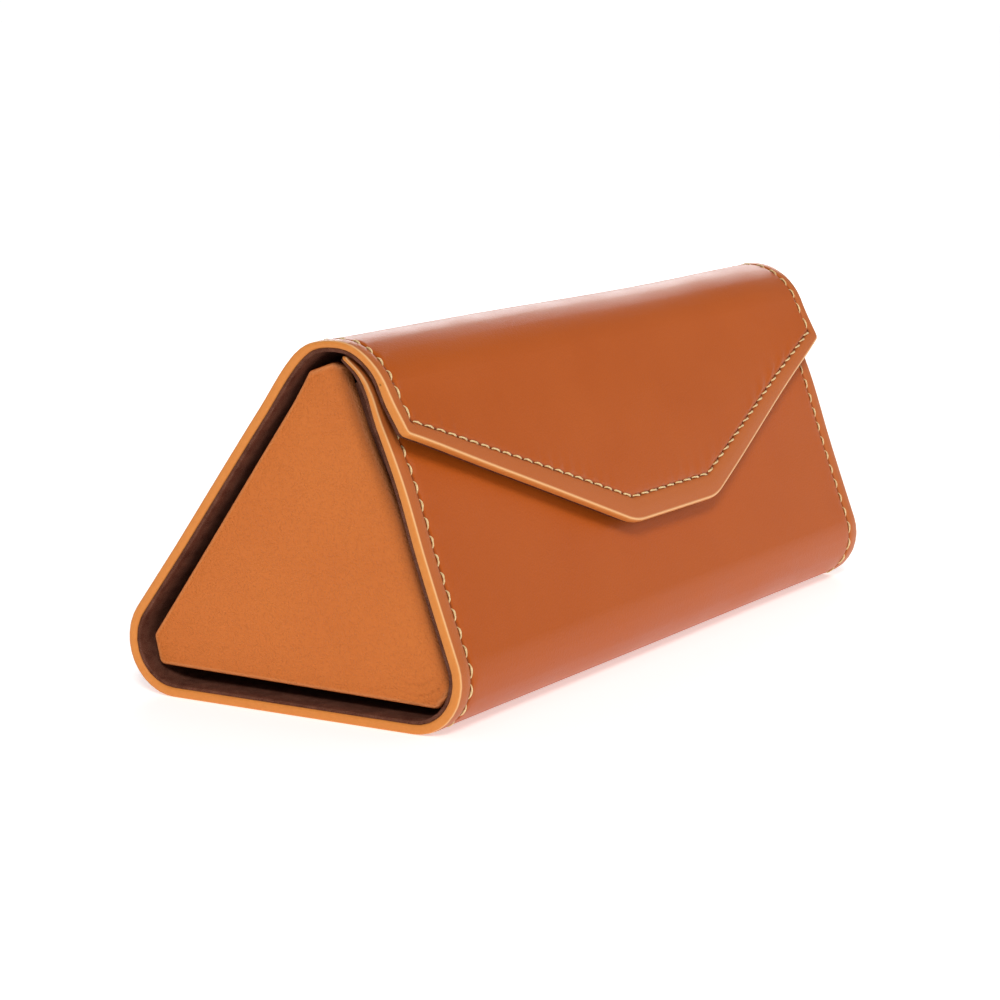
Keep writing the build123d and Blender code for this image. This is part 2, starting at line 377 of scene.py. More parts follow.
def make_field(xs, rows, inset, free_low, free_high, skew=None):
    """Flat places on a grid, with the corners of free ends rounded, and each place's inset."""
    x, s = np.meshgrid(xs, rows)
    share = np.ones_like(x)
    if skew is not None:
        s, share = skew(x)
    far = 9.0
    to_side = half - inset - np.abs(x)
    if free_low:
        to_end, sign = (s - s[0]) * share, -1.0
    elif free_high:
        to_end, sign = (s[-1] - s) * share, 1.0
    else:
        to_end, sign = np.full_like(x, far), 1.0
    soft = max(corner_round - inset, 0.4 * mm)
    p, q = soft - to_side, soft - to_end
    corner = (p > 0) & (q > 0)
    pull = np.where(corner, np.maximum(p, q) / np.hypot(np.maximum(p, 1e-9), np.maximum(q, 1e-9)), 1)
    x = x - np.sign(x) * np.where(corner, p * (1 - pull), 0)
    s = s - sign * np.where(corner, q * (1 - pull) / share, 0)
    deep = np.minimum(to_side, to_end)
    out_x = np.where(to_side <= to_end, np.sign(x), 0)
    out_s = np.where(to_side > to_end, sign, 0)
    diagonal = corner & (deep < 1e-9)
    out_x = np.where(diagonal, np.sign(x) * np.maximum(p, 0) / soft, out_x)
    out_s = np.where(diagonal, sign * np.maximum(q, 0) / soft, out_s)
    return {"x": x, "s": s, "deep": deep, "out_x": out_x, "out_s": out_s}


# ======== stitching ========
def row_inset(x, s):
    """How far inside the nearest edge the stitching runs, at a place."""
    over = np.clip((s - ridge_start) / ridge_length, 0, 1)
    towards_tip = np.clip((half - np.abs(x)) / (half - flap_tip_half), 0, 1) * (s > flap_start)
    return (stitch_inset + (flap_inset_side - stitch_inset) * over
            + (flap_inset_tip - flap_inset_side) * towards_tip)


def row_holes(start, end):
    """Needle holes along a straight row between two flat places (x, s)."""
    start, end = np.array(start, float), np.array(end, float)
    count = int(np.linalg.norm(end - start) // stitch_pitch)
    return start + (end - start) * np.linspace(0, 1, count + 1)[:, None]


def side_rows(name):
    low, high = path.mark[name]
    x = [half - float(row_inset(half, s)) for s in (low, high)]
    return [row_holes((side * x[0], low), (side * x[1], high)) for side in (-1, 1)]


def front_rows():
    top, x = front_low + stitch_inset, half - stitch_inset
    rows = [row_holes((side * x, top), (side * x, front_high)) for side in (-1, 1)]
    return [*rows, row_holes((-x, top), (x, top))]


def flap_rows():
    """Side, slant and tip rows. The slants draw away from the edge towards the tip."""
    slope = (flap_tip - flap_start - flap_side) / (half - flap_tip_half)
    lean = math.hypot(1, slope)
    side_x = half - flap_inset_side
    side_s = flap_start + flap_side + flap_inset_side * (slope - lean)
    tip_s = flap_tip - flap_inset_tip
    tip_x = half - (tip_s + flap_inset_tip * lean - flap_start - flap_side) / slope
    rows = [row_holes((-tip_x, tip_s), (tip_x, tip_s))]
    for side in (-1, 1):
        rows.append(row_holes((side * side_x, flap_start), (side * side_x, side_s)))
        rows.append(row_holes((side * side_x, side_s), (side * tip_x, tip_s)))
    return rows


rows_of = {"front": front_rows(), "flap": flap_rows()}
for run_name in ("front_fold", "bottom", "back_fold", "back", "ridge"):
    rows_of[run_name] = side_rows(run_name)


def with_way(holes):
    """Holes of a row, each with the row's direction."""
    way = (holes[-1] - holes[0]) / np.linalg.norm(holes[-1] - holes[0])
    return np.concatenate([holes, np.tile(way, (len(holes), 1))], axis=1)


all_holes = np.concatenate([with_way(holes) for rows in rows_of.values() for holes in rows])


def side_stations(low, high):
    """Rows of places that meet the needle holes along the case's ends."""
    holes = all_holes[(all_holes[:, 0] > half - stitch_inset - 0.01 * mm)
                      & (all_holes[:, 1] > low - 0.01 * mm) & (all_holes[:, 1] < high + 0.01 * mm)]
    return around(np.unique(np.round(holes[:, 1], 7)), low, high)


def stitches(name, rows):
    """Two-ply thread from hole to hole, each stitch a little aslant and dipping at both ends."""
    around_count, along_count = 10, 15
    turn = np.linspace(0, math.tau, around_count, endpoint=False)
    t = np.linspace(0, 1, along_count)
    flats, faces, base = [], [], 0
    stops = np.abs(2 * t - 1) ** 3
    lift = -channel_depth + thread_radius * 0.9 + 0.1 * mm - stitch_dip * stops
    for row_number, holes in enumerate(rows):
        for k, (a, b) in enumerate(zip(holes, holes[1:])):
            length = np.linalg.norm(b - a)
            way = (b - a) / length
            aside = np.array([-way[1], way[0]])
            mood = math.sin(12.9898 * (k + 1) + 78.233 * (row_number + 1))
            run = stitch_short + (length - 2 * stitch_short) * t
            slant = (stitch_slant + 0.04 * mm * mood) * np.sin((t - 0.5) * math.pi)
            middle = a + way * run[:, None] + aside * slant[:, None]
            ply = 1 + 0.17 * np.cos(2 * (turn[None, :] - 5.2 * t[:, None] - mood))
            thick = thread_radius * ply * (1 - 0.4 * stops)[:, None]
            sink = floor_sink * (1 - off_floor(middle[:, 1], 4 * mm))
            height = (lift + 0.03 * mm * mood - sink)[:, None] + thick * np.sin(turn)
            spot = middle[:, None, :] + aside * (thick * np.cos(turn))[..., None]
            flats.append(np.concatenate([spot, height[..., None]], -1).reshape(-1, 3))
            index = base + np.arange(along_count * around_count).reshape(along_count, around_count)
            for c, d in zip(index, index[1:]):
                faces.extend(ring_quads(c, d).tolist())
            faces.append(index[0][::-1].tolist())
            faces.append(index[-1].tolist())
            base += along_count * around_count
    flat = np.concatenate(flats)
    return make_mesh(name, place(flat[:, 0], flat[:, 1], flat[:, 2]), faces, flat, sharp=75)


# ======== leather, lining and board over a stretch of the path ========
def leather_heights(field, holes):
    """Outer face: rounded rim, raised margin, sewn channel and needle holes. Also the marks: edge wear,
    margin tint, and painted shade in the channel and the holes.
    """
    deep, x, s = field["deep"], field["x"], field["s"]
    body = thickness(s)
    radius = np.minimum(edge_round, 0.48 * body)
    into = np.clip(radius - deep, 0, radius)
    rim = np.sqrt(np.maximum(radius ** 2 - into ** 2, 0)) - radius
    line = row_inset(x, s)
    margin = 0.12 * mm * bell((deep - 0.5 * line) / (0.35 * line)) * off_floor(s, 4 * mm)
    sewn = bell((deep - line) / channel_width)
    puckers = 0.12 * mm * bell((deep - line - 1.3 * mm) / (1.1 * mm)) * off_floor(s, 9 * mm)
    puckers = puckers * np.sin((x + 0.8 * s) / (0.7 * mm)) * (0.5 + 0.5 * np.sin(x / (7 * mm)))
    dark = np.zeros_like(deep)
    for hx, hs, way_x, way_s in holes:
        near = (np.abs(x - hx) < 1.2 * mm) & (np.abs(s - hs) < 1.2 * mm)
        dx, ds = x[near] - hx, s[near] - hs
        gap = np.hypot((dx * way_x + ds * way_s) / hole_long, (ds * way_x - dx * way_s) / hole_wide)
        dark[near] = np.maximum(dark[near], bell(gap))
    channel = channel_depth + floor_sink * (1 - off_floor(s, 4 * mm))
    outer = rim + margin + puckers - channel * sewn - hole_depth * dark
    recess = np.minimum(lining_thick, 0.45 * body)
    inner = -body - rim + recess
    edge = 1 - smooth((deep - 0.08 * mm) / (0.5 * mm))
    outside = 1 - smooth((deep - line + 0.5 * mm) / (0.9 * mm))
    # Marks: X the edge's own paler colour, which also places the painted highlight line; Y the margin
    # tint; Z painted shade darkening the needle holes and the sewn channel.
    wear_and_painted_light = np.stack([edge, outside * (1 - edge), np.clip(0.3 * sewn + dark, 0, 1)], -1)
    return outer, inner, wear_and_painted_light


def wall_rows(low, high, steps, free_low=False, fine=True, step=2.6 * mm):
    """Values of s over a stretch, close together at a free end."""
    stations = side_stations(low, high) if fine else np.array([])
    start = low + steps if free_low else np.array([low])
    lead = start.max() + 0.3 * mm if free_low else low
    base = stations[stations > lead] if fine else spread(low, high, step)
    base = base[(base > lead) & (base < high - 0.05 * mm)]
    return np.concatenate([start, base, [high]])


def hole_columns(holes):
    return around(np.unique(np.round(holes, 7)), -half, half)


def flap_skew(rows_above, steps, inset, between):
    """Rows over the ridge and flap: straight above, then following the flap's lower edge."""
    def skew(x):
        depth, share = flap_edge(x[0], inset)
        low = (steps[None, :] / share[:, None]).T[::-1]
        foot = depth - low[0]
        lerp = np.linspace(0, 1, between + 1)[1:-1, None] * foot
        below = np.concatenate([lerp, depth - low])
        s = np.concatenate([np.tile(rows_above[:, None], (1, x.shape[1])), flap_start + below])
        return s, np.tile(share, (len(s), 1))
    return skew


seam = 3.0 * mm                     # pieces meet this far onto the bottom, where it is flat
bottom_low, bottom_high = path.mark["bottom"]
back_middle = sum(path.mark["back"]) / 2
spans = {
    "front": (front_low, bottom_low + seam),
    "bottom": (bottom_low + seam, bottom_high - seam),
    "back": (bottom_high - seam, back_middle),
    "flap": (back_middle, flap_start),
}


def stretch(which, inset, steps, ends, fine):
    """The field of one piece. fine adds the places that the needle holes need."""
    low, high = spans[which]
    spaced = spread(-half, half, 3.2 * mm)
    if which == "flap":
        holes = np.concatenate([r[:, 0] for r in rows_of["flap"]])
        middle = hole_columns(holes) if fine else spaced
        above = wall_rows(low, high, ends, fine=fine)
        xs = columns(inset, steps, middle)
        between = 14
        count = len(above) + between - 1 + len(ends)
        skew = flap_skew(above, ends, inset, between)
        return make_field(xs, np.zeros(count), inset, False, True, skew)
    if which == "front":
        top = rows_of["front"][2][:, 0]
        xs = columns(inset, steps, hole_columns(top) if fine else spaced)
        rows = wall_rows(low + inset, high, ends, free_low=True, fine=fine)
        return make_field(xs, rows, inset, True, False)
    return make_field(columns(inset, steps, spaced), wall_rows(low, high, ends, fine=fine),
                      inset, False, False)


def make_leather(which, name):
    on_flap = which == "flap"
    steps = edge_steps(flap_inset_side if on_flap else stitch_inset, stitch_inset)
    ends = edge_steps(flap_inset_side, flap_inset_tip) if on_flap else steps
    field = stretch(which, 0, steps, ends, True)
    low, high = field["s"].min(), field["s"].max()
    near = (all_holes[:, 1] > low - mm) & (all_holes[:, 1] < high + mm)
    outer, inner, wear_and_painted_light = leather_heights(field, all_holes[near])
    return slab(name, field, outer, inner, wear_and_painted_light)


def make_lining(which, name):
    field = stretch(which, lining_inset, plain_steps, plain_steps, False)
    body = thickness(field["s"])
    soft = 0.2 * mm
    into = np.clip(soft - field["deep"], 0, soft)
    edge = np.sqrt(soft ** 2 - into ** 2) - soft
    nap = 0.03 * mm * np.sin(field["x"] / (0.9 * mm)) * np.sin(field["s"] / (1.3 * mm))
    proud = lining_proud * off_floor(field["s"], mm) + 0.02 * mm
    inner = -body - proud - edge + nap
    outer = np.maximum(-body + lining_thick + 0.04 * mm, -0.75 * body) + 0.6 * edge
    return slab(name, field, outer, inner, bulge=0)


def make_board(which, name):
    """The stiffener of a wall that isn't quite flat."""
    low, high = path.mark[which]
    steps = np.array([0, 0.3, 1.5]) * mm
    xs = columns(board_inset, steps, spread(-half, half, 4 * mm))
    if which == "flap":
        between = 10
        skew = flap_skew(np.array([low]), steps, board_inset, between)
        field = make_field(xs, np.zeros(between + len(steps)), board_inset, False, True, skew)
    elif which == "front":
        rows = np.concatenate([low + 6 * mm + steps, spread(low + 9 * mm, high, 2.5 * mm)])
        field = make_field(xs, rows, board_inset, True, False)
    else:
        field = make_field(xs, spread(low, high, 2.5 * mm), board_inset, False, False)
    body = thickness(field["s"])
    return slab(name, field, -0.39 * body, -0.72 * body, bulge=0)


# ======== end panels ========
layer_rim = 0.2 * mm * (1 - np.cos(np.linspace(0, math.pi / 2, 4)))   # rounding of board and lining


def convex(points):
    """Convex outline of points in the section, in order."""
    points = sorted(set(map(tuple, np.round(points, 6))))
    chains = []
    for order in (points, points[::-1]):
        chain = []
        for p in order:
            while len(chain) > 1:
                a, b = np.subtract(chain[-1], chain[-2]), np.subtract(p, chain[-1])
                if a[0] * b[1] - a[1] * b[0] > 0:
                    break
                chain.pop()
            chain.append(p)
        chains.append(chain[:-1])
    return np.array(chains[0] + chains[1])


def evenly(ring, step):
    """A closed outline again, with points this far apart."""
    closed = np.concatenate([ring, ring[:1]])
    run = np.concatenate([[0], np.cumsum(np.linalg.norm(np.diff(closed, axis=0), axis=1))])
    at = np.linspace(0, run[-1], int(run[-1] / step), endpoint=False)
    return np.stack([np.interp(at, run, closed[:, k]) for k in (0, 1)], -1)


def panel_rings(node, inset, rim):
    """Rings of places (y, z) from a panel's edge to its middle, and each ring's inset."""
    vertices = np.array([v.co for v in frame["nodes"][node].data.vertices])[:, 1:]
    ring = evenly(convex(vertices), 0.4 * mm)
    ahead = np.roll(ring, -2, 0) - np.roll(ring, 2, 0)
    inward = np.stack([-ahead[:, 1], ahead[:, 0]], -1) / np.linalg.norm(ahead, axis=1)[:, None]
    rings = [ring + inward * (inset + d) for d in rim]
    centre, last = rings[-1].mean(0), rings[-1]
    shares = np.concatenate([np.linspace(0, 0.36, 27)[1:], np.linspace(0.36, 0.98, 22)[1:]])
    rings = np.array(rings + [last + (centre - last) * t for t in shares])
    deep = np.array([*rim, *(rim[-1] + 20 * mm * shares)])
    out = outer_normal("front_cover")
    from_front = (vertices @ out).max() - rings @ out
    back_off = panel_gap(rings[..., 1]) * (1 - smooth(from_front / (16 * mm)))
    return rings - out * back_off[..., None], deep, from_front


def panel_gap(z):
    """How much further than the CAD panel's edge the panel stays off the front wall."""
    return panel_gap_low + (panel_gap_high - panel_gap_low) * smooth((z - 34 * mm) / (20 * mm))


def panel_slab(name, node, side, rings, outer, inner, wear_and_painted_light=None):
    """A closed slab from rings, with its faces at these heights off the CAD's outer face."""
    face_x = abs(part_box(node)[0 if side < 0 else 1].x)
    count, size = rings.shape[:2]
    marks = np.zeros((count, size, 3)) if wear_and_painted_light is None else wear_and_painted_light
    x_of = {"outer": side * (face_x + outer), "inner": side * (face_x + inner)}
    sheets = [np.concatenate([x_of[k][..., None], rings], -1).reshape(-1, 3) for k in x_of]
    middles = [np.array([[side * (face_x + h[-1].mean()), *rings[-1].mean(0)]])
               for h in (outer, inner)]
    index = np.arange(count * size).reshape(count, size)
    faces, shift = [], count * size
    for k in (0, 1):
        for a, b in zip(index, index[1:]):
            faces.extend(ring_quads(a + k * shift, b + k * shift).tolist())
        tip = 2 * shift + k
        last = index[-1] + k * shift
        faces.extend([p, q, tip] for p, q in zip(last.tolist(), np.roll(last, -1).tolist()))
    faces.extend(ring_quads(index[0], index[0] + shift).tolist())
    corners = np.concatenate([*sheets, *middles])
    rows = np.concatenate([marks.reshape(-1, 3)] * 2 + [np.zeros((2, 3))])
    return make_mesh(name, corners, faces, corners, rows)


def panel_shape(rings, from_front):
    """How far a panel's leather stands off its flat face: turned in at the front, creased low."""
    over = np.clip(1 - from_front / panel_soft, 0, 1)
    turned = -panel_turn * (1 - np.sqrt(1 - over ** 2 * 0.98))
    low = rings.reshape(-1, 2)[(rings.reshape(-1, 2) @ np.array([-0.7, -1.0])).argmax()]
    y, z = (rings - low)[..., 0], (rings - low)[..., 1]
    fade = bell(y / (8 * mm)) * bell((z - 2.5 * mm) / (4.2 * mm)) * smooth(from_front / mm)
    phase = (z + 0.22 * y) / (1.25 * mm) + 0.8 * np.sin(y / (2.3 * mm)) + 0.5 * np.sin(z / (1.9 * mm))
    crease = (1 - np.abs(np.sin(phase * math.pi / 1.6))) ** 2.5
    gentle = 0.12 * mm * np.sin(y / (11 * mm) + 0.6) * np.sin(z / (13 * mm) + 0.8)
    return turned - 0.3 * mm * crease * fade + gentle * smooth(from_front / (8 * mm)), fade * crease


def panel_leather(name, side):
    node = f"{name}_cover"
    rim = panel_rim * (1 - np.cos(np.linspace(0, math.pi / 2, 6)))
    rings, deep, from_front = panel_rings(node, 0, rim)
    radius = rim[-1]
    into = np.clip(radius - deep, 0, radius)[:, None]
    rounding = np.sqrt(np.maximum(radius ** 2 - into ** 2, 0)) - radius
    shape, creased = panel_shape(rings, from_front)
    recess = lining_thick * smooth((deep - 1.0 * mm) / (0.4 * mm))[:, None]
    outer = rounding + shape
    inner = -wall - rounding + recess + 0 * shape
    edge = (1 - smooth(deep / (0.8 * mm)))[:, None] + 0 * shape
    # Painted shade: Z darkens the panel next to the front wall, where the wall's rim shades it, and in
    # its low creases.
    shade = 0.66 * bell(from_front / (2.4 * mm))
    wear_and_painted_light = np.stack([edge * (1 - shade), 0 * edge, np.maximum(shade, 0.45 * creased)], -1)
    return panel_slab(f"{name}_leather", node, side, rings, outer, inner, wear_and_painted_light)


def panel_board(name, side):
    node = f"{name}_cover"
    rings = panel_rings(node, board_inset, layer_rim)[0]
    level = np.zeros(rings.shape[:2])
    return panel_slab(f"{name}_stiffener", node, side, rings, level - 0.39 * wall, level - 0.72 * wall)


def panel_lining(name, side):
    node = f"{name}_cover"
    rings, deep, _ = panel_rings(node, panel_lining_inset, layer_rim)
    radius = layer_rim[-1]
    into = np.clip(radius - deep, 0, radius)[:, None]
    soft = np.sqrt(np.maximum(radius ** 2 - into ** 2, 0)) - radius + 0 * rings[..., 0]
    return panel_slab(f"{name}_suede", node, side, rings, 0 * soft - wall + lining_thick,
                      -wall - 0.03 * mm - soft)


def make_hinge(name, side):
    """The leather strip glued to the front wall's lining, turning into the panel's front edge."""
    low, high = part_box(f"{name}_hinge")
    panel_inner = abs(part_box(f"{name}_cover")[1 if side < 0 else 0].x)
    slope = -outer_normal("front_cover")[0]
    foot_z = path.at(np.array([front_high]))[0][0][1]
    start = front_high - (high.z + hinge_above - foot_z) / slope
    end = front_high - (low.z + hinge_below - foot_z) / slope
    half_thick = hinge_thick / 2
    turn = np.linspace(0, math.pi / 2, 7)
    bend = hinge_bend
    web = panel_inner + half_thick
    line = [(web - bend - run, half_thick) for run in np.linspace(hinge_flange - bend, 0, 7)[:-1]]
    line += [(web - bend + bend * math.sin(a), half_thick + bend * (1 - math.cos(a))) for a in turn]
    line += [(web, d) for d in np.linspace(half_thick + bend, hinge_deep, 5)[1:]]
    line = np.array(line)
    ahead = np.gradient(line, axis=0)
    aside = np.stack([-ahead[:, 1], ahead[:, 0]], -1) / np.linalg.norm(ahead, axis=1)[:, None]
    section = np.concatenate([line + aside * half_thick, (line - aside * half_thick)[::-1]])
    stations = np.linspace(start, end, 40)
    x = side * np.tile(section[:, 0], (len(stations), 1))
    s = np.tile(stations[:, None], (1, len(section)))
    depth = np.tile(section[:, 1], (len(stations), 1))
    free = smooth((depth - 0.5 * mm) / mm)
    height = path.at(s)[0][..., 1]
    h = -thickness(s) * (1 - free) - wall * free - depth - (relief(x, s) + panel_gap(height)) * free
    index = np.arange(s.size).reshape(s.shape)
    faces = [q for a, b in zip(index, index[1:]) for q in ring_quads(a, b).tolist()]
    faces += [index[0][::-1].tolist(), index[-1].tolist()]
    flat = np.stack([x, s, h], -1).reshape(-1, 3)
    piece = make_mesh(f"{name}_hinge_leather", place(flat[:, 0], flat[:, 1], flat[:, 2]), faces, flat,
                      np.zeros_like(flat))
    middle = (start + end) / 2
    ends = [place(np.array([side * web]), np.array([middle]),
                  np.array([-wall - d - relief(np.array([0.0]), np.array([middle]))[0]]))[0]
            for d in (0.5 * mm, 1.6 * mm)]
    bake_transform(piece)
    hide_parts(f"{name}_hinge")
    return piece


# ======== materials ========
class Nodes:
    """Short ways to add and join a material's nodes."""

    def __init__(self, name):
        self.material = bpy.data.materials.new(name)
        self.material.use_nodes = True
        self.tree = self.material.node_tree
        self.shader = self.tree.nodes["Principled BSDF"]

    def add(self, kind, inputs=None, **settings):
        node = self.tree.nodes.new(kind)
        for key, value in settings.items():
            setattr(node, key, value)
        for key, value in (inputs or {}).items():
            if isinstance(value, bpy.types.NodeSocket):
                self.tree.links.new(value, node.inputs[key])
            else:
                node.inputs[key].default_value = value
        return node

    def attribute(self, name):
        return self.add("ShaderNodeAttribute", attribute_name=name).outputs["Vector"]

    def noise(self, vector, scale, detail, rough):
        inputs = {"Vector": vector, "Scale": scale, "Detail": detail, "Roughness": rough}
        return self.add("ShaderNodeTexNoise", inputs).outputs["Fac"]

    def cells(self, vector, scale):
        return self.add("ShaderNodeTexVoronoi", {"Vector": vector, "Scale": scale}).outputs["Distance"]

    def maths(self, operation, a, b):
        return self.add("ShaderNodeMath", {0: a, 1: b}, operation=operation).outputs[0]

    def scaled(self, value, low, high, to_low=0.0, to_high=1.0):
        inputs = {"Value": value, "From Min": low, "From Max": high, "To Min": to_low,
                  "To Max": to_high}
        return self.add("ShaderNodeMapRange", inputs).outputs["Result"]

    def mix(self, share, a, b):
        node = self.add("ShaderNodeMix", data_type="RGBA")
        for socket, value in ((node.inputs[0], share), (node.inputs[6], a), (node.inputs[7], b)):
            if isinstance(value, bpy.types.NodeSocket):
                self.tree.links.new(value, socket)
            else:
                socket.default_value = value
        return node.outputs[2]

    def bump(self, height, distance):
        inputs = {"Height": height, "Distance": distance, "Strength": 1.0}
        return self.add("ShaderNodeBump", inputs).outputs["Normal"]

    def finish(self, **sockets):
        for key, value in sockets.items():
            name = key.replace("_", " ").title().replace("Ior", "IOR")
            if isinstance(value, bpy.types.NodeSocket):
                self.tree.links.new(value, self.shader.inputs[name])
            else:
                self.shader.inputs[name].default_value = value
        return self.material


def colour(red, green, blue):
    """Linear colour from display values of 0 to 255."""
    def linear(c):
        c /= 255
        return c / 12.92 if c <= 0.04045 else ((c + 0.055) / 1.055) ** 2.4
    return (linear(red), linear(green), linear(blue), 1.0)


def leather(name, deep, light, edge, margin, grain, grain_depth, roughness, painted_highlight_strength):
    """Leather whose marks tint its rims and margins and paint shade into its holes, channel and
    creases.

    grain is the pores' cells to a millimetre, and the last argument the strength of a painted
    highlight, a pale line where the rim begins.
    """
    n = Nodes(name)
    flat = n.attribute("flat")
    wear_and_painted_light = n.add("ShaderNodeSeparateXYZ", {"Vector": n.attribute("wear_and_painted_light")})
    cloudy = n.noise(flat, 0.05, 4, 0.55)
    mottle = n.noise(flat, 0.9, 4, 0.65)
    fine = n.noise(flat, 3.2, 4, 0.7)
    tone = n.mix(n.scaled(cloudy, 0.2, 0.8, 0.2, 0.8), deep, light)
    tone = n.mix(n.scaled(mottle, 0.35, 0.75, 0.0, 0.25), tone, light)
    tone = n.mix(n.scaled(fine, 0.4, 0.7, 0.0, 0.7), tone, deep)
    tone = n.mix(n.maths("MULTIPLY", wear_and_painted_light.outputs["Y"], 0.6), tone, margin)
    worn = n.maths("MULTIPLY", wear_and_painted_light.outputs["X"], n.scaled(mottle, 0.2, 0.8, 0.75, 1.0))
    tone = n.mix(worn, tone, edge)
    # Painted highlight: a pale line on the rounded corner where the rim begins.
    painted_highlight_line = n.maths("MULTIPLY", wear_and_painted_light.outputs["X"], n.maths("SUBTRACT", 1.0, wear_and_painted_light.outputs["X"]))
    tone = n.mix(n.maths("MULTIPLY", painted_highlight_line, painted_highlight_strength), tone, colour(252, 206, 146))
    pores = n.cells(flat, grain)
    pits = n.scaled(pores, 0.0, 0.25, 1.0, 0.0)
    tone = n.mix(n.maths("MULTIPLY", pits, 0.18), tone, colour(95, 38, 14))
    # Painted shade: the Z mark takes holes, the sewn channel, creases and the panels' front edges
    # towards near-black brown.
    tone = n.mix(n.maths("POWER", wear_and_painted_light.outputs["Z"], 1.6), tone, colour(38, 14, 6))
    ridges = n.maths("ADD", n.scaled(pores, 0, 0.6), n.maths("MULTIPLY", mottle, 0.5))
    ridges = n.maths("ADD", ridges, n.maths("MULTIPLY", fine, 0.35))
    gloss = n.scaled(n.maths("ADD", cloudy, n.maths("MULTIPLY", mottle, 0.4)), 0.4, 0.9,
                     roughness - 0.05, roughness + 0.07)
    return n.finish(base_color=tone, roughness=gloss, normal=n.bump(ridges, grain_depth),
                    specular_ior_level=0.2, ior=1.45)


def suede():
    n = Nodes("brown_suede")
    flat = n.attribute("flat")
    brushed = n.noise(flat, 0.35, 4, 0.7)
    nap = n.noise(flat, 5.0, 4, 0.75)
    hairs = n.noise(flat, 9.0, 2, 0.5)
    tone = n.mix(n.scaled(brushed, 0.3, 0.7), colour(74, 38, 26), colour(112, 70, 54))
    tone = n.mix(n.scaled(nap, 0.45, 0.75, 0.0, 0.55), tone, colour(140, 92, 74))
    tone = n.mix(n.scaled(hairs, 0.62, 0.72, 0.0, 0.5), tone, colour(196, 158, 140))
    height = n.maths("ADD", nap, n.maths("MULTIPLY", brushed, 0.6))
    return n.finish(base_color=tone, roughness=1.0, normal=n.bump(height, 0.2 * mm),
                    specular_ior_level=0.05)


def thread():
    n = Nodes("cream_thread")
    flat = n.attribute("flat")
    fibre = n.noise(flat, 3.5, 3, 0.6)
    tone = n.mix(n.scaled(fibre, 0.3, 0.75), colour(205, 165, 100), colour(250, 228, 176))
    return n.finish(base_color=tone, roughness=0.62, normal=n.bump(fibre, 0.04 * mm),
                    specular_ior_level=0.35, sheen_weight=0.2)


def board_stock():
    n = Nodes("grey_board")
    where = n.add("ShaderNodeTexCoord").outputs["Object"]
    pulp = n.noise(where, 900, 4, 0.7)
    flecks = n.noise(where, 4000, 2, 0.5)
    tone = n.mix(n.scaled(pulp, 0.3, 0.7), colour(138, 131, 120), colour(172, 165, 152))
    tone = n.mix(n.scaled(flecks, 0.6, 0.75, 0, 0.5), tone, colour(96, 88, 78))
    return n.finish(base_color=tone, roughness=0.9, normal=n.bump(pulp, 0.05 * mm))


def plated_steel():
    n = Nodes("magnet_steel")
    where = n.add("ShaderNodeTexCoord").outputs["Object"]
    rub = n.noise(where, 2500, 3, 0.6)
    return n.finish(base_color=colour(190, 190, 194), metallic=1.0,
                    roughness=n.scaled(rub, 0.3, 0.7, 0.22, 0.4), normal=n.bump(rub, 0.01 * mm))


tan = leather("tan_leather", colour(176, 80, 18), colour(188, 92, 28), colour(218, 138, 66),
              colour(190, 108, 56), 2.2, 0.02 * mm, 0.34, 2.8)
# The end panels' leather is pebble-grained and matt; its colours are set lighter than tan_leather's,
# partly its own colour and partly painted light for panels that face the light.
end_tan = leather("end_leather", colour(197, 105, 44), colour(210, 120, 54), colour(212, 112, 56),
                  colour(206, 116, 56), 2.4, 0.11 * mm, 0.46, 0.6)
materials = {"tan_leather": tan, "end_leather": end_tan, "brown_suede": suede(),
             "cream_thread": thread(), "grey_board": board_stock(), "magnet_steel": plated_steel()}


def dress(piece, slot):
    piece.data.materials.clear()
    piece.data.materials.append(materials[slot])


# ======== the pieces ========
def fold_ends(run):
    """The two ends of a fold, on the outer face at the middle of the case."""
    return [(0.0, *path.at(np.array([s]))[0][0]) for s in path.mark[run]]


joins = {
    "front": ("front_wall", "base", "front_fold"),
    "bottom": None,
    "back": ("base", "back_wall", "back_fold"),
    "flap": ("back_wall", "flap", "ridge"),
}
nodes_of = {
    "front": ("front", "front_fold"),
    "bottom": ("bottom",),
    "back": ("back", "back_fold"),
    "flap": ("flap", "ridge"),
}


def attach(piece, which):
    """Rides the base when the piece has no fold; otherwise only its transform is baked, and it rides no
    body.
    """
    if joins[which] is None:
        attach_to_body(piece, "base")
    else:
        first, second, run = joins[which]
        start, end = fold_ends(run)
        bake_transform(piece)


for which, names in nodes_of.items():
    skin = make_leather(which, f"{which}_leather")
    suede_sheet = make_lining(which, f"{which}_suede")
    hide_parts(*[f"{n}_cover" if n == which else f"{n}_leather" for n in names])
    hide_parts(*[f"{n}_lining" for n in names])
    dress(skin, "tan_leather")
    dress(suede_sheet, "brown_suede")
    attach(skin, which)
    attach(suede_sheet, which)

homes = {"front": "front_wall", "bottom": "base", "back": "back_wall", "flap": "flap"}
for run, body in homes.items():
    seams = stitches(f"{run}_thread", rows_of[run])
    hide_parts(f"{run}_stitching")
    dress(seams, "cream_thread")
    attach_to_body(seams, body)
for which in ("front", "back", "flap"):
    run = joins[which][2]
    seams = stitches(f"{run}_thread", rows_of[run])
    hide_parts(f"{run}_stitching")
    dress(seams, "cream_thread")
    attach(seams, which)

for run in ("front", "back", "flap"):
    stiffener = make_board(run, f"{run}_stiffener")
    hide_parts(f"{run}_board")
    dress(stiffener, "grey_board")
    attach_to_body(stiffener, homes[run])

